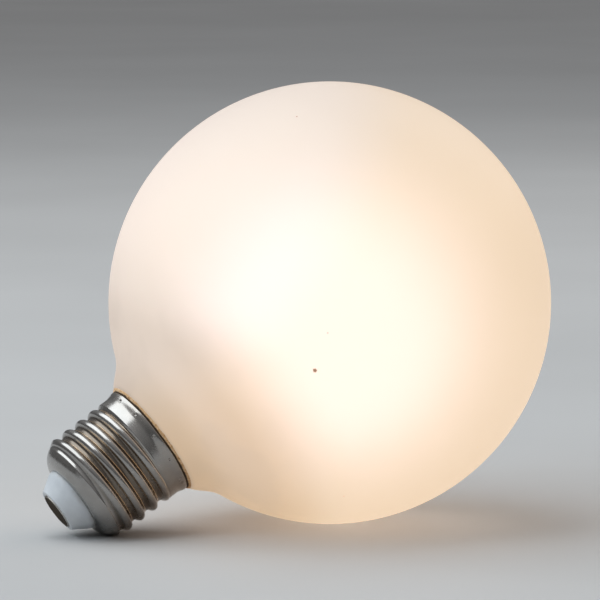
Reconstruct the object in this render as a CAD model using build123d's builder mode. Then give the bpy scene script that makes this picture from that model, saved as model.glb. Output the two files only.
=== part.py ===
from build123d import *
import os
from math import asin, atan2, cos, degrees, hypot, pi, radians, sin, sqrt

# ---------------------------------------------------------------- dimensions
# lengths in mm; "s" runs along the bulb's axis from the globe's centre to the
# tip of the cap, "r" is the distance from that axis

# opal globe
GLOBE_R = 50.0  # outside radius of the globe
RIM_S = 52.2  # plane of the cap's rim, from the globe's centre
MERGE_S = 45.3  # where the neck leaves the sphere
NECK_TUBE_R = 11.4  # straight tube of the neck, inside the cap
NECK_END_S = RIM_S + 10.0  # end of the neck inside the cap
NECK_END_ROUND = 2.5
# waist of the flared neck, from the sphere to the cap, as (r, s)
FLARE = [(17.35, 48.0), (15.65, 49.85), (14.1, 51.25), (12.85, 52.2), (11.85, 53.2)]
FLARE_END_S = RIM_S + 2.6

# screw cap, thin rolled metal
WALL = 0.35  # sheet thickness
LIP_R = 13.45  # outside radius at the rim, slightly belled
LIP_H = 2.2  # length of the bell
COLLAR_R = 13.0  # plain collar
COLLAR_END = 4.0  # end of the plain collar, from the rim
CREST_R = 13.1  # thread crest, 26.2 mm across
PITCH = 3.629  # seven turns to the inch
KNUCKLE_R = 1.025  # arc at crest and root
FIRST_CREST = 6.4  # first crest on the upper side, from the rim
THREAD_START = 3.4  # twisted part, from the rim
THREAD_END = 20.6
AROUND = 24  # points that give one section of the thread
BANDS = 76  # narrow bands that give its skin
NOSE_C = (7.95, 17.35)  # centre of the nose's rounding, as (r, s from the rim)
NOSE_R = 4.35  # radius of that rounding
NOSE_LEAD = 33.0  # degrees, lead-in where the thread runs out into the nose
NOSE_FULL = 20.3  # no groove from here on
NOSE_HOLE_R = 7.85  # opening for the insulator
DENTS = 13  # punch marks that hold the cap to the neck
DENT_S = 1.05  # from the rim
DENT_R = 0.42  # ball of the punch
DENT_DEPTH = 0.18

# cement between neck and cap
CEMENT_LENGTH = 3.8
BEAD_MID = (13.36, RIM_S - 0.16)  # the bead between rim and glass, as (r, s)
BEAD_TOP = (13.58, RIM_S - 0.5)  # where the bead ends on the glass, as (r, s)

# insulator and centre contact, s from the rim
INS_BACK = 19.6
INS_FLANGE_R = 9.6
INS_SHOULDER = (7.55, 22.6)
INS_TIP = (5.35, 26.05)
INS_FACE = 26.25
CONTACT_R = 4.3
CONTACT_BACK = 25.35
CONTACT_FACE = 26.5
CONTACT_EDGE = 0.18

# ------------------------------------------------------------------ lying pose
# the bulb lies on the globe and on the rounding of the nose
nose_s = RIM_S + NOSE_C[1]
tilt = asin((GLOBE_R - NOSE_R) / hypot(nose_s, NOSE_C[0])) - atan2(NOSE_C[0], nose_s)
ca, sa = cos(tilt), sin(tilt)
axis_dir = Vector(-ca, 0, -sa)
up_dir = Vector(-sa, 0, ca)
# the leftmost point is on the insulator's edge or on the nose
reach = max(
    (RIM_S + INS_TIP[1]) * ca + INS_TIP[0] * sa,
    nose_s * ca + NOSE_C[0] * sa + NOSE_R,
)
centre = Vector((reach - GLOBE_R) / 2, 0, GLOBE_R)
axis = Axis(centre, axis_dir)
# in this plane x is the radius and y runs along the axis
meridian = Plane(origin=centre, x_dir=up_dir, z_dir=(0, -1, 0))


def on_axis(s):
    """Point on the bulb's axis."""
    return centre + axis_dir * s


def across(s):
    """Plane square to the bulb's axis."""
    return Plane(origin=on_axis(s), x_dir=up_dir, z_dir=axis_dir)


# ------------------------------------------------------------------ glass globe
merge_r = sqrt(GLOBE_R**2 - MERGE_S**2)
with BuildPart() as glass_globe:
    with BuildSketch(meridian):
        with BuildLine():
            CenterArc((0, 0), GLOBE_R, -90, 90 + degrees(atan2(MERGE_S, merge_r)))
            Spline(
                (merge_r, MERGE_S),
                *FLARE,
                (NECK_TUBE_R, FLARE_END_S),
                tangents=[(-MERGE_S, merge_r), (0, 1)],
            )
            Polyline(
                (NECK_TUBE_R, FLARE_END_S),
                (NECK_TUBE_R, NECK_END_S),
                (0, NECK_END_S),
                (0, -GLOBE_R),
            )
        make_face()
    revolve(axis=axis)
    # the closed end of the neck is melted round
    fillet(
        glass_globe.edges()
        .filter_by(GeomType.CIRCLE)
        .sort_by_distance(on_axis(NECK_END_S))[0],
        radius=NECK_END_ROUND,
    )
glass_globe.part.label = "glass_globe"


# -------------------------------------------------------------------- screw cap
def knuckle(u, inset):
    """Radius of the thread at axial distance u from a crest, measured to the
    face that lies inset inside the outer skin."""
    u = abs((u + PITCH / 2) % PITCH - PITCH / 2)
    rise = sqrt((2 * KNUCKLE_R) ** 2 - (PITCH / 2) ** 2)
    crest_c = CREST_R - KNUCKLE_R
    root_c = crest_c + rise
    crest_arc, root_arc = KNUCKLE_R - inset, KNUCKLE_R + inset
    if u <= PITCH / 4 * crest_arc / KNUCKLE_R:
        return crest_c + sqrt(crest_arc**2 - u**2)
    return root_c - sqrt(root_arc**2 - (PITCH / 2 - u) ** 2)


def thread_section(t, inset):
    """Closed outline of the thread, cut square to the axis at t from the rim."""
    points = []
    for i in range(AROUND):
        r = knuckle(t - FIRST_CREST - PITCH * i / AROUND, inset)
        angle = 2 * pi * i / AROUND
        points.append(Vector(r * cos(angle), r * sin(angle), 0))
    return Edge.make_spline(
        points, periodic=True, parameters=[i / AROUND for i in range(AROUND + 1)]
    )


def thread_body(inset):
    """Bar whose skin is the knuckle thread, in narrow bands along the axis."""
    with BuildPart() as bar:
        for k in range(BANDS + 1):
            t = THREAD_START + (THREAD_END - THREAD_START) * k / BANDS
            with BuildSketch(across(RIM_S + t)):
                with BuildLine():
                    add(thread_section(t, inset))
                make_face()
        loft(ruled=True)
    return bar.part


def cap_envelope(inset):
    """Collar, room for the crests and nose, inset from the outer skin."""
    nose = NOSE_R - inset
    collar = COLLAR_R - inset
    wide = CREST_R - inset + 0.5
    lead = radians(NOSE_LEAD)
    # the straight lead-in touches the rounding and falls from the wide part
    fall_s = NOSE_C[1] + nose * sin(lead) - (
        wide - NOSE_C[0] - nose * cos(lead)
    ) * cos(lead) / sin(lead)
    end_s = NOSE_C[1] + sqrt(nose**2 - (NOSE_HOLE_R - NOSE_C[0]) ** 2)
    with BuildPart() as body:
        with BuildSketch(meridian):
            with BuildLine():
                Polyline(
                    (0, RIM_S - (0.5 if inset else 0)),
                    (LIP_R - inset, RIM_S - (0.5 if inset else 0)),
                    (LIP_R - inset, RIM_S + 0.15),
                )
                Spline(
                    (LIP_R - inset, RIM_S + 0.15),
                    (collar, RIM_S + LIP_H),
                    tangents=[(0, 1), (0, 1)],
                )
                Polyline(
                    (collar, RIM_S + LIP_H),
                    (collar, RIM_S + COLLAR_END),
                    (wide, RIM_S + COLLAR_END + 0.6),
                    (wide, RIM_S + fall_s),
                    (NOSE_C[0] + nose * cos(lead), RIM_S + NOSE_C[1] + nose * sin(lead)),
                )
                CenterArc(
                    (NOSE_C[0], RIM_S + NOSE_C[1]),
                    nose,
                    NOSE_LEAD,
                    degrees(atan2(end_s - NOSE_C[1], NOSE_HOLE_R - NOSE_C[0]))
                    - NOSE_LEAD,
                )
                Polyline(
                    (NOSE_HOLE_R, RIM_S + end_s),
                    (0, RIM_S + end_s),
                    (0, RIM_S - (0.5 if inset else 0)),
                )
            make_face()
        revolve(axis=axis)
    return body.part


def run_out(inset):
    """Fills the groove at both ends, so that it fades into collar and nose."""
    root = CREST_R - 1.2 - inset
    with BuildPart() as ends:
        with BuildSketch(meridian):
            with BuildLine():
                Polyline(
                    (0, RIM_S - 1),
                    (CREST_R + 1, RIM_S - 1),
                    (CREST_R + 1, RIM_S + COLLAR_END + 0.1 - inset / 2),
                    (CREST_R - inset, RIM_S + COLLAR_END + 0.25 - inset / 2),
                    (root, RIM_S + COLLAR_END + 1.6 - inset / 2),
                    (0, RIM_S + COLLAR_END + 1.6 - inset / 2),
                    close=True,
                )
            make_face()
        revolve(axis=axis)
        with BuildSketch(across(RIM_S + NOSE_FULL)):
            Circle(CREST_R + 1)
        extrude(amount=4)
    return ends.part


def cap_body(inset):
    """Solid form of the cap down to a skin that lies inset inside the outer one."""
    thread, ends, envelope = thread_body(inset), run_out(inset), cap_envelope(inset)
    with BuildPart() as body:
        add(thread)
        add(ends)
        add(envelope, mode=Mode.INTERSECT)
    return body.part


cap_outside = cap_body(0)
cap_inside = cap_body(WALL)
with BuildPart() as screw_cap:
    add(cap_outside)
    add(cap_inside, mode=Mode.SUBTRACT)
    # opening for the insulator
    with BuildSketch(across(RIM_S + 20)):
        Circle(NOSE_HOLE_R)
    extrude(amount=3, mode=Mode.SUBTRACT)
    # punch marks around the rim
    dent_r = COLLAR_R + 0.27 + DENT_R - DENT_DEPTH
    marks = []
    for i in range(DENTS):
        a = radians(360 * (i + 0.4) / DENTS)
        outward = up_dir * cos(a) + Vector(0, 1, 0) * sin(a)
        marks.append(
            Plane(
                origin=on_axis(RIM_S + DENT_S) + outward * dent_r,
                x_dir=axis_dir,
                z_dir=-outward,
            )
        )
    with Locations(marks):
        Sphere(DENT_R, mode=Mode.SUBTRACT)
screw_cap.part.label = "screw_cap"

# ----------------------------------------------------------------- cement ring
with BuildPart() as cement_ring:
    with BuildSketch(meridian):
        with BuildLine():
            Polyline(
                (NECK_TUBE_R - 1, RIM_S + CEMENT_LENGTH),
                (COLLAR_R - 0.85 * WALL, RIM_S + CEMENT_LENGTH),
                (COLLAR_R - 0.85 * WALL, RIM_S + LIP_H),
            )
            Spline(
                (COLLAR_R - 0.85 * WALL, RIM_S + LIP_H),
                (LIP_R - 0.85 * WALL, RIM_S + 0.15),
                tangents=[(0, -1), (0, -1)],
            )
            Line((LIP_R - 0.85 * WALL, RIM_S + 0.15), (LIP_R - 0.85 * WALL, RIM_S))
            # the bead swells a little between the rim and the glass
            Spline((LIP_R - 0.85 * WALL, RIM_S), BEAD_MID, BEAD_TOP)
            Polyline(
                BEAD_TOP,
                (NECK_TUBE_R - 1, RIM_S),
                (NECK_TUBE_R - 1, RIM_S + CEMENT_LENGTH),
            )
        make_face()
    revolve(axis=axis)
    add(glass_globe.part, mode=Mode.SUBTRACT)
    add(screw_cap.part, mode=Mode.SUBTRACT)
cement_ring.part.label = "cement_ring"

# --------------------------------------------------------------- centre contact
with BuildPart() as centre_contact:
    with BuildSketch(across(RIM_S + CONTACT_BACK)):
        Circle(CONTACT_R)
    extrude(amount=CONTACT_FACE - CONTACT_BACK)
    fillet(
        centre_contact.edges()
        .filter_by(GeomType.CIRCLE)
        .sort_by_distance(on_axis(RIM_S + CONTACT_FACE + 5))[0],
        radius=CONTACT_EDGE,
    )
centre_contact.part.label = "centre_contact"

# ------------------------------------------------------------------- insulator
with BuildPart() as cap_insulator:
    with BuildSketch(meridian):
        with BuildLine():
            Polyline(
                (0, RIM_S + INS_BACK),
                (INS_FLANGE_R, RIM_S + INS_BACK),
                (INS_FLANGE_R, RIM_S + 21.9),
                (NOSE_HOLE_R, RIM_S + 21.9),
            )
            Spline(
                (NOSE_HOLE_R, RIM_S + 21.9),
                (INS_SHOULDER[0], RIM_S + INS_SHOULDER[1]),
                (6.95, RIM_S + 23.6),
                tangents=[
                    (-0.1, 1),
                    (INS_TIP[0] - 6.95, INS_TIP[1] - 23.6),
                ],
            )
            Polyline(
                (6.95, RIM_S + 23.6),
                (INS_TIP[0], RIM_S + INS_TIP[1]),
                (INS_TIP[0] - 0.22, RIM_S + INS_FACE),
                (0, RIM_S + INS_FACE),
                (0, RIM_S + INS_BACK),
            )
        make_face()
    revolve(axis=axis)
    add(screw_cap.part, mode=Mode.SUBTRACT)
    add(centre_contact.part, mode=Mode.SUBTRACT)
cap_insulator.part.label = "cap_insulator"

# ---------------------------------------------------------------------- export
os.makedirs("parts", exist_ok=True)
export_step(glass_globe.part, "parts/glass_globe.step")
export_step(screw_cap.part, "parts/screw_cap.step")
export_step(cement_ring.part, "parts/cement_ring.step")
export_step(centre_contact.part, "parts/centre_contact.step")
export_step(cap_insulator.part, "parts/cap_insulator.step")
print("tilt", round(degrees(tilt), 3), "centre x", round(centre.X, 3))
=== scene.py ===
from math import asin, atan2, cos, degrees, hypot, pi, radians, sin, sqrt

import bpy
import numpy as np
from mathutils import Matrix, Vector


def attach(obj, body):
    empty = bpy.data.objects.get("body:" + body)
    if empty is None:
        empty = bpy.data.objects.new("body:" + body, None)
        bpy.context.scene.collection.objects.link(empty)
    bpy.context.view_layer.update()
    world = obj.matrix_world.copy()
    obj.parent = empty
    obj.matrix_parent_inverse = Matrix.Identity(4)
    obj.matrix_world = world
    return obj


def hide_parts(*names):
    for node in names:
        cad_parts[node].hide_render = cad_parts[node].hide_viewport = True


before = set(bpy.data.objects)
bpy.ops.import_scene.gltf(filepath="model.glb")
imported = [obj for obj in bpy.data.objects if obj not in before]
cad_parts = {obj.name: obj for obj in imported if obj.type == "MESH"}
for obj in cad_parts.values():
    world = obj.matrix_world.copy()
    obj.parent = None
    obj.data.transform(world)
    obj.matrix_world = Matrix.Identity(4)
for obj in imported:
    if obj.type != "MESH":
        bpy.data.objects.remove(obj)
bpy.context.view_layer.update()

MM = 0.001

# ---------------------------------------------------------------- the object's sizes, mm
GLOBE_R = 50.0
RIM_S = 52.2
MERGE_S = 45.3
FLARE = [(17.35, 48.0), (15.65, 49.85), (14.1, 51.25), (12.85, 52.2), (11.85, 53.2)]
WALL = 0.35
LIP_R = 13.45
LIP_H = 2.2
COLLAR_R = 13.0
COLLAR_END = 4.0
CREST_R = 13.1
PITCH = 3.629
KNUCKLE_R = 1.025
FIRST_CREST = 6.4
NOSE_C = (7.95, 17.35)
NOSE_R = 4.35
NOSE_LEAD = 33.0
NOSE_HOLE_R = 7.85
DENTS = 13
DENT_S = 1.05
INS_SHOULDER = (7.55, 22.6)
INS_TIP = (5.35, 26.05)
INS_FACE = 26.25
CONTACT_R = 4.3
CONTACT_FACE = 26.5

# ---------------------------------------------------------------- how it lies
nose_s = RIM_S + NOSE_C[1]
tilt = asin((GLOBE_R - NOSE_R) / hypot(nose_s, NOSE_C[0])) - atan2(NOSE_C[0], nose_s)
ca, sa = cos(tilt), sin(tilt)
AXIS = np.array([-ca, 0.0, -sa])
UP = np.array([-sa, 0.0, ca])
SIDE = np.array([0.0, 1.0, 0.0])
reach = max(
    (RIM_S + INS_TIP[1]) * ca + INS_TIP[0] * sa,
    nose_s * ca + NOSE_C[0] * sa + NOSE_R,
)
CENTRE = np.array([(reach - GLOBE_R) / 2, 0.0, GLOBE_R])


def place(r, s, a):
    """Points in metres from radius, distance along the axis and angle round it."""
    r, s, a = np.broadcast_arrays(r, s, a)
    p = (
        CENTRE
        + s[..., None] * AXIS
        + (r * np.cos(a))[..., None] * UP
        + (r * np.sin(a))[..., None] * SIDE
    )
    return p * MM


def skin(name, r, s, a, close_first=False, close_last=False):
    """A smooth mesh from a grid of rows along the profile and columns round the axis."""
    rows, cols = r.shape
    pts = place(r, s, a).reshape(-1, 3)
    i = np.arange(rows - 1)[:, None] * cols
    j = np.arange(cols)[None, :]
    k = (j + 1) % cols
    quads = np.stack([i + j, i + k, i + cols + k, i + cols + j], -1).reshape(-1, 4)
    faces = [tuple(q) for q in quads.tolist()]
    verts = [tuple(p) for p in pts.tolist()]
    if close_first:
        verts.append(tuple(place(np.array(0.0), np.array(s[0, 0]), np.array(0.0)).tolist()))
        c = len(verts) - 1
        faces += [(c, (q + 1) % cols, q) for q in range(cols)]
    if close_last:
        verts.append(tuple(place(np.array(0.0), np.array(s[-1, 0]), np.array(0.0)).tolist()))
        c, b = len(verts) - 1, (rows - 1) * cols
        faces += [(c, b + q, b + (q + 1) % cols) for q in range(cols)]
    mesh = bpy.data.meshes.new(name)
    mesh.from_pydata(verts, [], faces)
    mesh.polygons.foreach_set("use_smooth", [True] * len(mesh.polygons))
    mesh.update()
    o = bpy.data.objects.new(name, mesh)
    bpy.context.scene.collection.objects.link(o)
    return o


def resample(points, step):
    """Evenly spaced points on a polyline of (r, s)."""
    p = np.array(points, float)
    d = np.r_[0, np.cumsum(np.hypot(*np.diff(p, axis=0).T))]
    n = max(2, int(round(d[-1] / step)) + 1)
    t = np.linspace(0, d[-1], n)
    return np.c_[np.interp(t, d, p[:, 0]), np.interp(t, d, p[:, 1])]


def spline(points, start, end, per=24):
    """Smooth curve through points with given end directions (clamped cubic)."""
    p = np.array(points, float)
    h = np.hypot(*np.diff(p, axis=0).T)
    n = len(p)
    u = np.array([start, end], float)
    u /= np.hypot(u[:, 0], u[:, 1])[:, None]
    A, B = np.zeros((n, n)), np.zeros((n, 2))
    A[0, 0] = A[-1, -1] = 1
    B[0], B[-1] = u
    for q in range(1, n - 1):
        A[q, q - 1], A[q, q], A[q, q + 1] = h[q], 2 * (h[q - 1] + h[q]), h[q - 1]
        B[q] = 3 * (
            h[q] * (p[q] - p[q - 1]) / h[q - 1] + h[q - 1] * (p[q + 1] - p[q]) / h[q]
        )
    m = np.linalg.solve(A, B)
    out = []
    for q in range(n - 1):
        t = np.linspace(0, 1, per, endpoint=q == n - 2)[:, None]
        out.append(
            (2 * t**3 - 3 * t**2 + 1) * p[q]
            + (t**3 - 2 * t**2 + t) * h[q] * m[q]
            + (-2 * t**3 + 3 * t**2) * p[q + 1]
            + (t**3 - t**2) * h[q] * m[q + 1]
        )
    return np.concatenate(out)


def smooth_min(a, b, k):
    h = np.clip(0.5 + 0.5 * (b - a) / k, 0, 1)
    return b * (1 - h) + a * h - k * h * (1 - h)


def smooth_max(a, b, k):
    return -smooth_min(-a, -b, k)


def ring(count):
    return np.arange(count) / count * 2 * pi


def grid(profile, count):
    """Profile rows (r, s) and angle columns as full arrays."""
    a = ring(count)[None, :]
    r = np.repeat(profile[:, :1], count, 1)
    s = np.repeat(profile[:, 1:], count, 1)
    return r, s, np.repeat(a, len(profile), 0)


def waves(a, seed, low, high, count):
    """A repeatable wobble round the ring, from a few sine waves."""
    rng = np.random.default_rng(seed)
    out = np.zeros_like(a)
    for _ in range(count):
        f = rng.integers(low, high)
        out = out + rng.normal() * np.sin(f * a + rng.uniform(0, 2 * pi)) / sqrt(count)
    return out


# ---------------------------------------------------------------- node helpers
class Nodes:
    def __init__(self, name):
        self.mat = bpy.data.materials.new(name)
        self.mat.use_nodes = True
        self.nt = self.mat.node_tree
        self.nt.nodes.clear()
        self.out = self.nt.nodes.new("ShaderNodeOutputMaterial")

    def new(self, kind, **settings):
        n = self.nt.nodes.new(kind)
        for k, v in settings.items():
            setattr(n, k, v)
        return n

    def link(self, a, b):
        self.nt.links.new(a, b)

    def feed(self, socket, value):
        if isinstance(value, bpy.types.NodeSocket):
            self.link(value, socket)
        elif value is not None:
            socket.default_value = value

    def math(self, op, a, b=None, clamp=False):
        n = self.new("ShaderNodeMath", operation=op, use_clamp=clamp)
        self.feed(n.inputs[0], a)
        self.feed(n.inputs[1], b)
        return n.outputs[0]

    def vec(self, op, a, b=None):
        n = self.new("ShaderNodeVectorMath", operation=op)
        self.feed(n.inputs[0], a)
        self.feed(n.inputs[1], b)
        return n.outputs["Value"] if op in ("LENGTH", "DISTANCE", "DOT_PRODUCT") else n.outputs[0]

    def span(self, value, a, b, c=0.0, d=1.0, smooth=True):
        n = self.new("ShaderNodeMapRange")
        n.interpolation_type = "SMOOTHSTEP" if smooth else "LINEAR"
        self.feed(n.inputs["Value"], value)
        for k, v in (("From Min", a), ("From Max", b), ("To Min", c), ("To Max", d)):
            self.feed(n.inputs[k], v)
        return n.outputs["Result"]

    def noise(self, vector, scale, detail=4.0, rough=0.55, distortion=0.0):
        n = self.new("ShaderNodeTexNoise")
        self.feed(n.inputs["Vector"], vector)
        n.inputs["Scale"].default_value = scale
        n.inputs["Detail"].default_value = detail
        n.inputs["Roughness"].default_value = rough
        n.inputs["Distortion"].default_value = distortion
        return n.outputs["Fac"]

    def mix(self, fac, a, b, mode="MIX"):
        n = self.new("ShaderNodeMix", data_type="RGBA", blend_type=mode)
        self.feed(n.inputs["Factor"], fac)
        self.feed(n.inputs["A"], a)
        self.feed(n.inputs["B"], b)
        # colour sockets of the mix node
        ins = [s for s in n.inputs if s.type == "RGBA"]
        self.feed(ins[0], a)
        self.feed(ins[1], b)
        return [s for s in n.outputs if s.type == "RGBA"][0]

    def ramp(self, fac, stops):
        n = self.new("ShaderNodeValToRGB")
        e = n.color_ramp.elements
        e[0].position, e[0].color = stops[0][0], (*stops[0][1], 1)
        e[1].position, e[1].color = stops[1][0], (*stops[1][1], 1)
        for p, c in stops[2:]:
            x = e.new(p)
            x.color = (*c, 1)
        self.feed(n.inputs["Fac"], fac)
        return n.outputs["Color"]

    def bump(self, height, strength, distance, normal=None):
        n = self.new("ShaderNodeBump")
        self.feed(n.inputs["Height"], height)
        n.inputs["Strength"].default_value = strength
        n.inputs["Distance"].default_value = distance
        if normal is not None:
            self.link(normal, n.inputs["Normal"])
        return n.outputs["Normal"]

    def position(self):
        """Object-space position: metres in the row frame."""
        return self.new("ShaderNodeTexCoord").outputs["Object"]

    def axial(self, pos):
        """(s, r) in mm from the position."""
        d = self.vec("SUBTRACT", pos, tuple(CENTRE * MM))
        s = self.math("MULTIPLY", self.vec("DOT_PRODUCT", d, tuple(AXIS)), 1000.0)
        u = self.vec("DOT_PRODUCT", d, tuple(UP))
        v = self.vec("DOT_PRODUCT", d, tuple(SIDE))
        r = self.math(
            "MULTIPLY",
            self.math(
                "SQRT",
                self.math("ADD", self.math("MULTIPLY", u, u), self.math("MULTIPLY", v, v)),
            ),
            1000.0,
        )
        return s, r, u, v

    def principled(self, **inputs):
        n = self.new("ShaderNodeBsdfPrincipled")
        for k, v in inputs.items():
            self.feed(n.inputs[k.replace("_", " ")], v)
        return n

    def done(self, shader):
        self.link(shader, self.out.inputs["Surface"])
        return self.mat


def finish_piece(o, mat, slot, *nodes):
    o.data.materials.append(mat)
    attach(o, "root")
    if nodes:
        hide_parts(*nodes)
    return o


# ================================================================ globe
merge_r = sqrt(GLOBE_R**2 - MERGE_S**2)
ang = np.linspace(-pi / 2, atan2(MERGE_S, merge_r), 150)[1:]
globe_profile = np.concatenate(
    [
        np.c_[GLOBE_R * np.cos(ang), GLOBE_R * np.sin(ang)],
        spline(
            [(merge_r, MERGE_S), *FLARE, (11.4, RIM_S + 2.6)],
            (-MERGE_S, merge_r),
            (0, 1),
            8,
        )[1:],
    ]
)
globe = skin("opal_globe", *grid(globe_profile, 256), close_first=True)

m = Nodes("opal_glass_matt")
pos = m.position()
s_mm, r_mm, _, _ = m.axial(pos)
# very fine acid-etched grain, and slow ripples of blown glass
grain = m.noise(pos, 2600.0, 3.0, 0.6)
ripple = m.noise(pos, 26.0, 2.0, 0.5)
normal = m.bump(grain, 0.10, 0.00003)
normal = m.bump(ripple, 0.10, 0.0006, normal)
# how the wall glows: even on the ball; painted shade of the inner light makes it duller and a little blotchy down
# the neck
cloud = m.noise(pos, 22.0, 2.0, 0.5)
blotch = m.noise(pos, 75.0, 2.0, 0.5)
glow = m.span(s_mm, 26.0, 49.5, 1.0, 0.54)
up_z = m.new("ShaderNodeSeparateXYZ")
m.link(pos, up_z.inputs[0])
# painted shade: the glow is turned down on the top of the ball, where the overhead softbox already lights it
glow = m.math("MULTIPLY", glow, m.span(up_z.outputs["Z"], 0.071, 0.104, 1.0, 0.67))
# painted shade: the glow is a little duller and warmer on the underside, towards the neck
low = m.math(
    "MULTIPLY", m.span(up_z.outputs["Z"], 0.040, 0.018), m.span(s_mm, 30.0, 41.0)
)
dim = m.math("MULTIPLY", low, m.span(s_mm, 45.0, 50.0, 0.07, 0.04))
glow = m.math("MULTIPLY", glow, m.math("SUBTRACT", 1.0, dim))
# less of the inner light gets through where the ball turns into the neck: partly thicker glass, partly painted
# shade on the lower side
thick_glass_and_painted_shade = m.math("MULTIPLY", m.span(s_mm, 22.0, 39.0), m.span(s_mm, 39.0, 45.5, 1.0, 0.10))
thick_glass_and_painted_shade = m.math("MULTIPLY", thick_glass_and_painted_shade, m.span(up_z.outputs["Z"], 0.058, 0.040))
thick_glass_and_painted_shade = m.math("MULTIPLY", thick_glass_and_painted_shade, m.span(up_z.outputs["Z"], 0.008, 0.032, 0.25, 1.0))
glow = m.math("MULTIPLY", glow, m.math("SUBTRACT", 1.0, m.math("MULTIPLY", thick_glass_and_painted_shade, 0.03)))
# painted shadow: the last of the glass beside the cap's lip is darkened
glow = m.math("MULTIPLY", glow, m.span(s_mm, RIM_S - 1.5, RIM_S - 0.5, 1.0, 0.35))
glow = m.math("MULTIPLY", glow, m.span(cloud, 0.3, 0.7, 0.985, 1.015))
shade = m.math("MULTIPLY", m.span(s_mm, 28.0, 44.0), m.span(blotch, 0.42, 0.62, 0.0, 0.13))
glow = m.math("MULTIPLY", glow, m.math("SUBTRACT", 1.0, shade))
tint = m.ramp(
    m.span(s_mm, -50.0, 53.0, 0.0, 1.0, smooth=False),
    [
        (0.0, (1.0, 0.745, 0.47)),
        (0.80, (1.0, 0.735, 0.46)),
        (0.90, (1.0, 0.70, 0.39)),
        (1.0, (1.0, 0.63, 0.27)),
    ],
)
# painted light: the glow is whiter towards the upper side of the cap's end, where the cool softbox light falls
painted_cool_light = m.vec("DOT_PRODUCT", m.vec("SUBTRACT", pos, tuple(CENTRE * MM)), (-0.80, 0.05, 0.60))
painted_cool_light = m.span(painted_cool_light, 0.014, 0.034, 0.0, 1.0)
tint = m.mix(painted_cool_light, tint, (0.95, 0.815, 0.715, 1))
# painted shade also warms the glow on the underside towards the neck
tint = m.mix(m.math("MULTIPLY", low, 0.8), tint, (1.0, 0.62, 0.26, 1))
# specks of dust on the glass
specks = m.new("ShaderNodeTexVoronoi", feature="F1")
m.feed(specks.inputs["Vector"], pos)
specks.inputs["Scale"].default_value = 85.0
specks.inputs["Randomness"].default_value = 1.0
pick = m.new("ShaderNodeSeparateColor")
m.link(specks.outputs["Color"], pick.inputs[0])
dot = m.math(
    "MULTIPLY",
    m.span(specks.outputs["Distance"], 0.010, 0.024, 1.0, 0.0),
    m.span(pick.outputs[0], 0.0, 1.0, 0.25, 0.8),
)
# one larger brown speck below the middle of the ball
ragged = m.math("MULTIPLY", m.math("SUBTRACT", m.noise(pos, 2200.0, 2.0), 0.5), 0.0005)
speck_at = tuple((CENTRE + GLOBE_R * np.array([-0.409, -0.894, -0.183])) * MM)
away = m.math("ADD", m.vec("DISTANCE", pos, speck_at), ragged)
dot = m.math("MAXIMUM", dot, m.span(away, 0.00026, 0.00058, 1.0, 0.0))
white = m.ramp(cloud, [(0.35, (0.41, 0.40, 0.39)), (0.65, (0.44, 0.43, 0.42))])
white = m.mix(dot, white, (0.20, 0.13, 0.09, 1))
glow = m.math("MULTIPLY", glow, m.math("SUBTRACT", 1.0, m.math("MULTIPLY", dot, 0.6)))
tint = m.mix(dot, tint, (1.0, 0.55, 0.30, 1))
wall = m.principled(
    Base_Color=white,
    Roughness=m.span(ripple, 0.3, 0.7, 0.46, 0.54),
    Normal=normal,
    Specular_IOR_Level=0.4,
    Emission_Color=tint,
    Emission_Strength=m.math("MULTIPLY", glow, 0.86),
)
# light from inside, scattered forward by the matt wall
spread = m.new("ShaderNodeBsdfRefraction")
# the forward light is darker and warmer there too: thicker glass and painted shade
thick = m.mix(m.math("MULTIPLY", thick_glass_and_painted_shade, 0.62), (1.0, 0.97, 0.92, 1), (0.57, 0.48, 0.33, 1))
thick = m.mix(dot, thick, (0.20, 0.13, 0.08, 1))
m.link(thick, spread.inputs["Color"])
spread.inputs["Roughness"].default_value = 1.0
spread.inputs["IOR"].default_value = 1.5
mix2 = m.new("ShaderNodeMixShader")
mix2.inputs[0].default_value = 0.5
m.link(wall.outputs[0], mix2.inputs[1])
m.link(spread.outputs[0], mix2.inputs[2])
finish_piece(globe, m.done(mix2.outputs[0]), "opal_glass", "glass_globe")

# ================================================================ screw cap


def knuckle(u):
    u = np.abs((u + PITCH / 2) % PITCH - PITCH / 2)
    rise = sqrt((2 * KNUCKLE_R) ** 2 - (PITCH / 2) ** 2)
    crest_c = CREST_R - KNUCKLE_R
    root_c = crest_c + rise
    top = crest_c + np.sqrt(np.maximum(KNUCKLE_R**2 - u**2, 0))
    low = root_c - np.sqrt(np.maximum(KNUCKLE_R**2 - (PITCH / 2 - u) ** 2, 0))
    return np.where(u <= PITCH / 4, top, low)


def smoothstep(x):
    x = np.clip(x, 0, 1)
    return x * x * (3 - 2 * x)


lead = radians(NOSE_LEAD)
lead_r, lead_t = NOSE_C[0] + NOSE_R * cos(lead), NOSE_C[1] + NOSE_R * sin(lead)


def envelope(t):
    bell = LIP_R - (LIP_R - COLLAR_R) * smoothstep((t - 0.15) / (LIP_H - 0.15))
    wide = CREST_R + 0.5
    out = np.where(
        t < COLLAR_END, bell, COLLAR_R + (wide - COLLAR_R) * (t - COLLAR_END) / 0.6
    )
    out = np.minimum(out, wide)
    fall = lead_r + (lead_t - t) * sin(lead) / cos(lead)
    dome = NOSE_C[0] + np.sqrt(
        np.maximum(NOSE_R**2 - np.clip(t - NOSE_C[1], 0, NOSE_R) ** 2, 0)
    )
    return np.where(t > 10, np.where(t < lead_t, np.minimum(out, fall), dome), out)


def fill(t):
    """Where the groove fades into the collar."""
    return np.where(t < 11, CREST_R - 0.15 - (t - COLLAR_END - 0.25) * 1.2 / 1.35, 0.0)


dome_end = NOSE_C[1] + sqrt(NOSE_R**2 - (NOSE_HOLE_R - NOSE_C[0]) ** 2)
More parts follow.
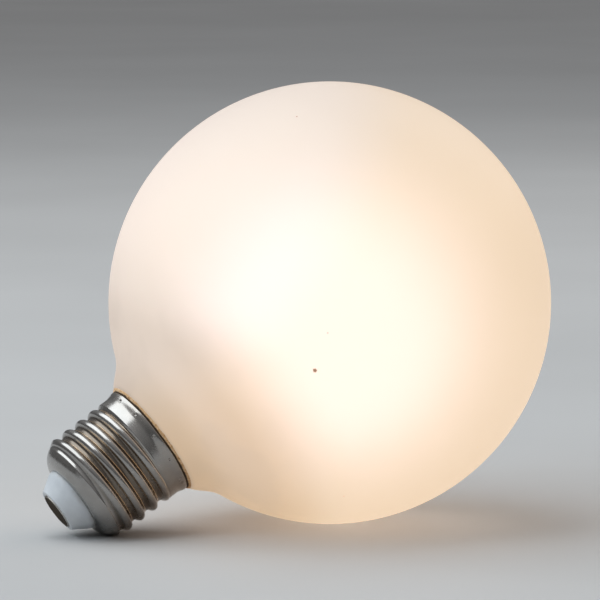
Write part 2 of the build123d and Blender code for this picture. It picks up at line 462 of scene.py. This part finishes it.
# punch marks, each a little different, and finer columns at each of them
rng = np.random.default_rng(7)
marks = [
    (
        2 * pi * (i + 0.4) / DENTS + rng.normal() * 0.010,
        DENT_S + rng.normal() * 0.05,
        0.17 + 0.03 * rng.normal(),
        0.40 + 0.03 * rng.normal(),
    )
    for i in range(DENTS)
]
near = np.array([-0.62, -0.48, -0.38, -0.31, -0.24, -0.16, -0.08, 0.0])
near = np.r_[near, -near[:-1]] / COLLAR_R
columns = np.r_[ring(200), np.concatenate([mk[0] + near for mk in marks])]
columns = np.unique(np.round(columns % (2 * pi), 5))
cols = len(columns)
t_in = np.linspace(3.0, 0.12, 8)  # inside of the rim
arc = np.linspace(pi, 0, 9)[1:-1]  # rolled edge of the rim
t_out = np.concatenate(
    [
        np.linspace(0.12, 1.9, 25),
        np.linspace(1.9, 3.6, 9)[1:],
        np.linspace(3.6, lead_t, 136)[1:],
    ]
)
# the nose is sampled along its arc
a_dome = np.linspace(lead, atan2(dome_end - NOSE_C[1], NOSE_HOLE_R - NOSE_C[0]), 26)[1:]
A = columns[None, :]
rows_r, rows_t = [], []
for t in t_in:
    rows_r.append(np.full(cols, float(envelope(np.array(t)) - WALL)))
    rows_t.append(np.full(cols, t))
for b in arc:
    rows_r.append(np.full(cols, LIP_R - WALL / 2 + WALL / 2 * cos(b)))
    rows_t.append(np.full(cols, 0.12 - WALL / 2 * sin(b)))
for t in t_out:
    u = t - FIRST_CREST - PITCH * A[0] / (2 * pi)
    body = smooth_max(knuckle(u), fill(np.full(cols, t)), 0.22)
    outline = envelope(np.full(cols, t))
    rows_r.append(smooth_min(body, outline, 0.16) if t > 3.2 else outline)
    rows_t.append(np.full(cols, t))
for b in a_dome:
    rows_r.append(np.full(cols, NOSE_C[0] + NOSE_R * cos(b)))
    rows_t.append(np.full(cols, NOSE_C[1] + NOSE_R * sin(b)))
# the edge of the opening turns in
for b in np.linspace(0, pi / 2, 6)[1:]:
    rows_r.append(np.full(cols, NOSE_HOLE_R - 0.12 * sin(b)))
    rows_t.append(np.full(cols, dome_end - 0.12 * (1 - cos(b)) - 0.02))
rows_r.append(np.full(cols, NOSE_HOLE_R - 0.1))
rows_t.append(np.full(cols, dome_end - 0.8))
cap_r, cap_t = np.array(rows_r), np.array(rows_t)
cap_a = np.repeat(A, len(cap_r), 0)
outer = np.arange(len(cap_r))[:, None] >= len(t_in) + len(arc)
for a0, t0, depth, ball in marks:
    da = (cap_a - a0 + pi) % (2 * pi) - pi
    d2 = (da * COLLAR_R) ** 2 + (cap_t - t0) ** 2
    dip = np.sqrt(np.maximum(ball**2 - d2, 0)) - (ball - depth)
    dip = smooth_max(np.where(d2 < ball**2, dip, -1.0), 0.0, 0.05)
    rim_up = 0.022 * np.exp(-((np.sqrt(d2) - 0.42) ** 2) / 0.008)
    cap_r -= np.where(outer & (cap_t < 3.2), dip - rim_up, 0)
# the rim isn't perfectly round or flat
near_rim = np.exp(-np.maximum(cap_t, 0) / 1.2) * (cap_t < 5)
cap_r += near_rim * 0.03 * waves(cap_a, 11, 2, 9, 6)
cap_t += near_rim * 0.045 * waves(cap_a, 12, 3, 13, 6)
cap = skin("nickel_screw_cap", cap_r, cap_t + RIM_S, cap_a)

m = Nodes("nickel_plate")
pos = m.position()
s_mm, r_mm, u_m, v_m = m.axial(pos)
# rolling leaves fine lines round the axis
lines_at = m.new("ShaderNodeCombineXYZ")
m.feed(lines_at.inputs[0], m.math("MULTIPLY", s_mm, 1.0))
m.feed(lines_at.inputs[1], m.math("MULTIPLY", r_mm, 0.2))
m.feed(lines_at.inputs[2], m.math("MULTIPLY", m.noise(pos, 60.0, 2.0), 0.6))
lines = m.noise(lines_at.outputs[0], 6.0, 4.0, 0.6)
smudge = m.noise(pos, 210.0, 4.0, 0.6, 0.4)
spots = m.noise(pos, 1500.0, 2.0, 0.5)
groove = m.span(r_mm, CREST_R - 1.1, CREST_R - 0.25, 1.0, 0.0)
in_thread = m.math(
    "MULTIPLY", m.span(s_mm, RIM_S + 4.2, RIM_S + 5.2), m.span(s_mm, RIM_S + 17.2, RIM_S + 18.4, 1.0, 0.0)
)
groove = m.math("MULTIPLY", groove, in_thread)
metal = m.ramp(smudge, [(0.3, (0.33, 0.316, 0.298)), (0.7, (0.40, 0.386, 0.370))])
# painted shade: the thread's grooves are darkened to a dark brown
metal = m.mix(m.math("MULTIPLY", groove, 0.80), metal, (0.13, 0.098, 0.068, 1))
# painted reflection: the flank on the globe's side carries two fine warm bright lines for the glowing globe's
# reflection, with painted dark reflection lines beside them
turn = m.math("DIVIDE", m.math("ARCTAN2", v_m, u_m), 2 * pi)
along = m.math("DIVIDE", m.math("SUBTRACT", s_mm, RIM_S + FIRST_CREST), PITCH)
phase = m.math("FRACT", m.math("ADD", m.math("SUBTRACT", along, turn), 20.0))


def line_at(where, wide):
    off = m.math("ABSOLUTE", m.math("SUBTRACT", phase, where))
    return m.span(off, wide * 0.35, wide, 1.0, 0.0)


painted_warm_reflection_lines = m.math("MAXIMUM", line_at(0.735, 0.034), line_at(0.63, 0.028))
painted_dark_reflection_lines = m.math("MAXIMUM", line_at(0.683, 0.026), line_at(0.80, 0.022))
painted_warm_reflection_lines = m.math("MULTIPLY", painted_warm_reflection_lines, in_thread)
painted_dark_reflection_lines = m.math("MULTIPLY", painted_dark_reflection_lines, in_thread)
painted_reflection_patchiness = m.span(smudge, 0.3, 0.6, 0.55, 1.0)
metal = m.mix(m.math("MULTIPLY", painted_warm_reflection_lines, m.math("MULTIPLY", painted_reflection_patchiness, 0.92)), metal, (0.86, 0.62, 0.38, 1))
metal = m.mix(m.math("MULTIPLY", painted_dark_reflection_lines, 0.85), metal, (0.06, 0.046, 0.034, 1))
# warmer, older plate towards the rim
aged = m.math("MULTIPLY", m.span(s_mm, RIM_S + 4.6, RIM_S + 0.6), m.span(smudge, 0.3, 0.65))
metal = m.mix(m.math("MULTIPLY", aged, 0.35), metal, (0.36, 0.31, 0.26, 1))
rough = m.math(
    "ADD",
    m.span(smudge, 0.35, 0.7, 0.16, 0.26),
    m.math("MULTIPLY", groove, 0.05),
)
rough = m.math("ADD", rough, m.span(spots, 0.58, 0.75, 0.0, 0.08))
dimples = m.noise(pos, 950.0, 2.0, 0.5)
normal = m.bump(lines, 0.05, 0.00003)
normal = m.bump(smudge, 0.05, 0.00010, normal)
normal = m.bump(m.span(dimples, 0.55, 0.75), 0.10, 0.00004, normal)
nickel = m.principled(Base_Color=metal, Metallic=1.0, Roughness=rough, Normal=normal)
finish_piece(cap, m.done(nickel.outputs[0]), "cap_metal", "screw_cap")

# ================================================================ cement
bead = spline(
    [
        (12.98, RIM_S + 0.75),
        (12.86, RIM_S + 0.15),
        (13.30, RIM_S - 0.30),
        (14.05, RIM_S - 0.92),
    ],
    (-0.3, -1),
    (0.6, -1),
    8,
)
br, bs, ba = grid(bead, 900)
row = np.linspace(0, 1, len(bead))[:, None]
bulge = np.sin(pi * np.clip(row * 1.9 - 0.9, 0, 1)) ** 0.8
crumb = 0.10 * waves(ba, 3, 30, 110, 12) + 0.06 * waves(ba, 4, 110, 300, 20)
crumb += 0.05 * waves(ba + row * 9, 5, 80, 240, 16)
thick = 0.06 + 0.10 * waves(ba, 8, 2, 9, 5)
# a few larger crumbs stick to the glass
rng = np.random.default_rng(19)
for _ in range(46):
    a0, wide = rng.uniform(0, 2 * pi), rng.uniform(0.10, 0.24)
    high, at = rng.uniform(0.08, 0.26), rng.uniform(0.66, 0.95)
    da = ((ba - a0 + pi) % (2 * pi) - pi) * 13.4 / wide
    crumb = crumb + 1.5 * high * np.exp(-(da**2) - ((row - at) / 0.28) ** 2)
there = 0.25 + 0.75 * np.exp(-((((ba + 1.12 + pi) % (2 * pi) - pi) / 0.75) ** 2))
there += 0.5 * np.exp(-((((ba - 2.3 + pi) % (2 * pi) - pi) / 0.6) ** 2))
lift = np.clip((0.05 + thick + crumb * 0.7) * there, -0.02, 0.46) * bulge
br += lift * 0.75
bs -= lift * 0.65
# the bead's upper edge wanders on the glass
wander = 0.10 * waves(ba[-1], 6, 12, 60, 9) + 0.08 * waves(ba[-1], 9, 3, 12, 5)
wander = wander * there[-1] - 0.25 * (1 - np.minimum(there[-1], 1))
bs[-1] -= wander
br[-1] += wander * 1.2 - 0.05
cement = skin("cement_bead", br, bs, ba)

m = Nodes("tan_cement")
pos = m.position()
lump = m.noise(pos, 1400.0, 5.0, 0.7)
patch = m.noise(pos, 300.0, 3.0, 0.6)
tan = m.ramp(
    lump,
    [
        (0.34, (0.28, 0.13, 0.055)),
        (0.47, (0.78, 0.45, 0.21)),
        (0.64, (0.95, 0.70, 0.44)),
    ],
)
tan = m.mix(m.span(patch, 0.40, 0.75), tan, (0.84, 0.52, 0.26, 1))
# painted shadow: the cement in the gap beside the metal lip is painted nearly black
s_mm, _, _, _ = m.axial(pos)
painted_gap_shadow = m.math("ADD", s_mm, m.math("MULTIPLY", m.math("SUBTRACT", patch, 0.5), 0.5))
tan = m.mix(m.span(painted_gap_shadow, RIM_S - 0.48, RIM_S - 0.36, 0.0, 0.94), tan, (0.03, 0.022, 0.016, 1))
grit = m.principled(
    Base_Color=tan,
    Roughness=m.span(patch, 0.3, 0.7, 0.75, 0.95),
    Normal=m.bump(lump, 0.8, 0.00025),
    Subsurface_Weight=0.0,
)
finish_piece(cement, m.done(grit.outputs[0]), "cement", "cement_ring")

# ================================================================ insulator
ins = np.concatenate(
    [
        resample([(NOSE_HOLE_R - 0.12, RIM_S + 20.9), (NOSE_HOLE_R - 0.10, RIM_S + 21.75)], 0.2),
        spline(
            [(NOSE_HOLE_R - 0.10, RIM_S + 21.75), (INS_SHOULDER[0], RIM_S + INS_SHOULDER[1]), (6.95, RIM_S + 23.6)],
            (-0.1, 1),
            (INS_TIP[0] - 6.95, INS_TIP[1] - 23.6),
            14,
        )[1:],
        resample([(6.95, RIM_S + 23.6), (INS_TIP[0] + 0.08, RIM_S + INS_TIP[1] - 0.12)], 0.18)[1:],
        spline(
            [
                (INS_TIP[0] + 0.08, RIM_S + INS_TIP[1] - 0.12),
                (INS_TIP[0] - 0.05, RIM_S + INS_TIP[1] + 0.10),
                (INS_TIP[0] - 0.32, RIM_S + INS_FACE),
            ],
            (-0.45, 0.9),
            (-1, 0),
            7,
        )[1:],
        resample([(INS_TIP[0] - 0.32, RIM_S + INS_FACE), (CONTACT_R - 0.15, RIM_S + INS_FACE - 0.02)], 0.12)[1:],
    ]
)
ir, is_, ia = grid(ins, 160)
ir += 0.012 * waves(ia, 21, 2, 5, 3)
insulator = skin("insulator_cone", ir, is_, ia)

m = Nodes("insulator_white")
pos = m.position()
s_mm, r_mm, _, _ = m.axial(pos)
mottle = m.noise(pos, 240.0, 4.0, 0.6)
fine = m.noise(pos, 2400.0, 3.0, 0.6)
pale = m.ramp(mottle, [(0.3, (0.58, 0.60, 0.625)), (0.7, (0.67, 0.69, 0.71))])
# a little grime where the cone leaves the metal
dirt = m.math("MULTIPLY", m.span(s_mm, RIM_S + 21.9, RIM_S + 22.9, 1.0, 0.0), m.span(mottle, 0.35, 0.6))
pale = m.mix(m.math("MULTIPLY", dirt, 0.5), pale, (0.33, 0.30, 0.27, 1))
ceramic = m.principled(
    Base_Color=pale,
    Roughness=m.span(mottle, 0.3, 0.7, 0.34, 0.48),
    Normal=m.bump(fine, 0.12, 0.00004, m.bump(mottle, 0.15, 0.0001)),
    Subsurface_Weight=0.25,
    Subsurface_Radius=(0.002, 0.002, 0.002),
    Subsurface_Scale=0.6,
)
finish_piece(insulator, m.done(ceramic.outputs[0]), "insulator", "cap_insulator")

# ================================================================ contact
disc = np.concatenate(
    [
        resample([(CONTACT_R, RIM_S + 25.9), (CONTACT_R, RIM_S + CONTACT_FACE - 0.16)], 0.1),
        spline(
            [
                (CONTACT_R, RIM_S + CONTACT_FACE - 0.16),
                (CONTACT_R - 0.05, RIM_S + CONTACT_FACE - 0.05),
                (CONTACT_R - 0.2, RIM_S + CONTACT_FACE),
            ],
            (0, 1),
            (-1, 0),
            7,
        )[1:],
        resample([(CONTACT_R - 0.2, RIM_S + CONTACT_FACE), (CONTACT_R - 0.45, RIM_S + CONTACT_FACE - 0.07), (0.05, RIM_S + CONTACT_FACE - 0.02)], 0.16)[1:],
    ]
)
dr, ds, da = grid(disc, 128)
contact = skin("contact_disc", dr, ds, da, close_last=True)

m = Nodes("contact_metal")
pos = m.position()
s_mm, r_mm, u_m, v_m = m.axial(pos)
turned = m.new("ShaderNodeTexWave", wave_type="RINGS", rings_direction="SPHERICAL", wave_profile="SIN")
around = m.new("ShaderNodeCombineXYZ")
m.feed(around.inputs[0], u_m)
m.feed(around.inputs[1], v_m)
m.feed(turned.inputs["Vector"], around.outputs[0])
turned.inputs["Scale"].default_value = 900.0
turned.inputs["Distortion"].default_value = 1.5
wear = m.noise(pos, 420.0, 5.0, 0.65)
dull = m.ramp(wear, [(0.3, (0.07, 0.062, 0.055)), (0.55, (0.125, 0.112, 0.10)), (0.75, (0.21, 0.195, 0.18))])
edge = m.span(r_mm, CONTACT_R - 0.45, CONTACT_R - 0.15)
dull = m.mix(edge, dull, (0.58, 0.56, 0.53, 1))
worn = m.principled(
    Base_Color=dull,
    Metallic=1.0,
    Specular_Tint=(0.30, 0.28, 0.26, 1),
    Roughness=m.math("SUBTRACT", m.span(wear, 0.3, 0.7, 0.34, 0.52), m.math("MULTIPLY", edge, 0.18)),
    Normal=m.bump(turned.outputs["Fac"], 0.12, 0.00003, m.bump(wear, 0.2, 0.00008)),
)
finish_piece(contact, m.done(worn.outputs[0]), "contact_metal", "centre_contact")

# ================================================================ studio
floor_mesh = bpy.data.meshes.new("floor")
floor_mesh.from_pydata([(-20, -20, 0), (20, -20, 0), (20, 20, 0), (-20, 20, 0)], [], [(0, 1, 2, 3)])
floor = bpy.data.objects.new("floor", floor_mesh)
bpy.context.scene.collection.objects.link(floor)
m = Nodes("pale_floor")
pos = m.position()
f1 = m.noise(pos, 700.0, 4.0, 0.6)
f2 = m.noise(pos, 6.0, 3.0, 0.5)
plain = m.ramp(f2, [(0.3, (0.455, 0.45, 0.445)), (0.7, (0.49, 0.485, 0.48))])
matt = m.principled(Base_Color=plain, Roughness=0.75, Normal=m.bump(f1, 0.25, 0.0002), Specular_IOR_Level=0.3)
floor.data.materials.append(m.done(matt.outputs[0]))


def area(name, where, at, size, power, colour=(1, 1, 1)):
    """A softbox: its first size runs along X, its second along Y."""
    data = bpy.data.lights.new(name, "AREA")
    data.shape = "RECTANGLE"
    data.size, data.size_y = size
    data.energy = power
    data.color = colour
    o = bpy.data.objects.new(name, data)
    o.location = where
    z = (Vector(where) - Vector(at)).normalized()
    y = (Vector((0, 1, 0)) - z * z.y).normalized()
    x = y.cross(z)
    o.rotation_mode = "QUATERNION"
    o.rotation_quaternion = Matrix((x, y, z)).transposed().to_quaternion()
    bpy.context.scene.collection.objects.link(o)
    return o


area("softbox_over", (-0.36, 0.25, 0.95), (0, 0, 0.04), (1.05, 1.30), 10.5, (0.89, 0.955, 1.0))
fill = area("softbox_left", (-0.75, -0.22, 0.62), (0, 0, 0.04), (0.5, 0.5), 2.2, (0.74, 0.89, 1.0))
fill.visible_glossy = False
area("softbox_back", (0.75, 0.55, 0.55), (0, 0, 0.04), (0.5, 0.5), 1.6, (1.0, 0.99, 0.97))

# the light source in the globe
bulb = bpy.data.lights.new("inner_light", "POINT")
bulb.energy = 0.029
bulb.color = (0.92, 0.83, 1.05)
bulb.shadow_soft_size = 0.032
inner = bpy.data.objects.new("inner_light", bulb)
inner.location = Vector((CENTRE * MM).tolist()) + Vector((0.001, 0, -0.006))
bpy.context.scene.collection.objects.link(inner)

world = bpy.data.worlds.new("studio")
bpy.context.scene.world = world
world.use_nodes = True
wn = world.node_tree
wn.nodes.clear()
wo = wn.nodes.new("ShaderNodeOutputWorld")
bg = wn.nodes.new("ShaderNodeBackground")
tc = wn.nodes.new("ShaderNodeTexCoord")
sep = wn.nodes.new("ShaderNodeSeparateXYZ")
wn.links.new(tc.outputs["Generated"], sep.inputs[0])
mr = wn.nodes.new("ShaderNodeMapRange")
mr.interpolation_type = "SMOOTHSTEP"
mr.inputs["From Min"].default_value = 0.0
mr.inputs["From Max"].default_value = 0.9
mr.inputs["To Min"].default_value = 0.165
mr.inputs["To Max"].default_value = 0.41
wn.links.new(sep.outputs["Z"], mr.inputs["Value"])
bg.inputs["Color"].default_value = (0.97, 0.98, 1.0, 1)
wn.links.new(mr.outputs["Result"], bg.inputs["Strength"])
wn.links.new(bg.outputs[0], wo.inputs["Surface"])

# ================================================================ camera
AZ, EL, DIST = radians(-20.5), radians(6.5), 1.10
TARGET = Vector((0.0017, 0.0, 0.0509))
back = Vector((sin(AZ) * cos(EL), -cos(AZ) * cos(EL), sin(EL)))
cam_data = bpy.data.cameras.new("camera")
cam_data.lens = 292.5
cam_data.sensor_width = 36.0
cam_data.clip_start, cam_data.clip_end = 0.05, 50
cam = bpy.data.objects.new("camera", cam_data)
cam.location = TARGET + back * DIST
cam.rotation_mode = "QUATERNION"
cam.rotation_quaternion = (-back).to_track_quat("-Z", "Y")
bpy.context.scene.collection.objects.link(cam)
bpy.context.scene.camera = cam

bpy.context.scene.view_settings.view_transform = "Standard"
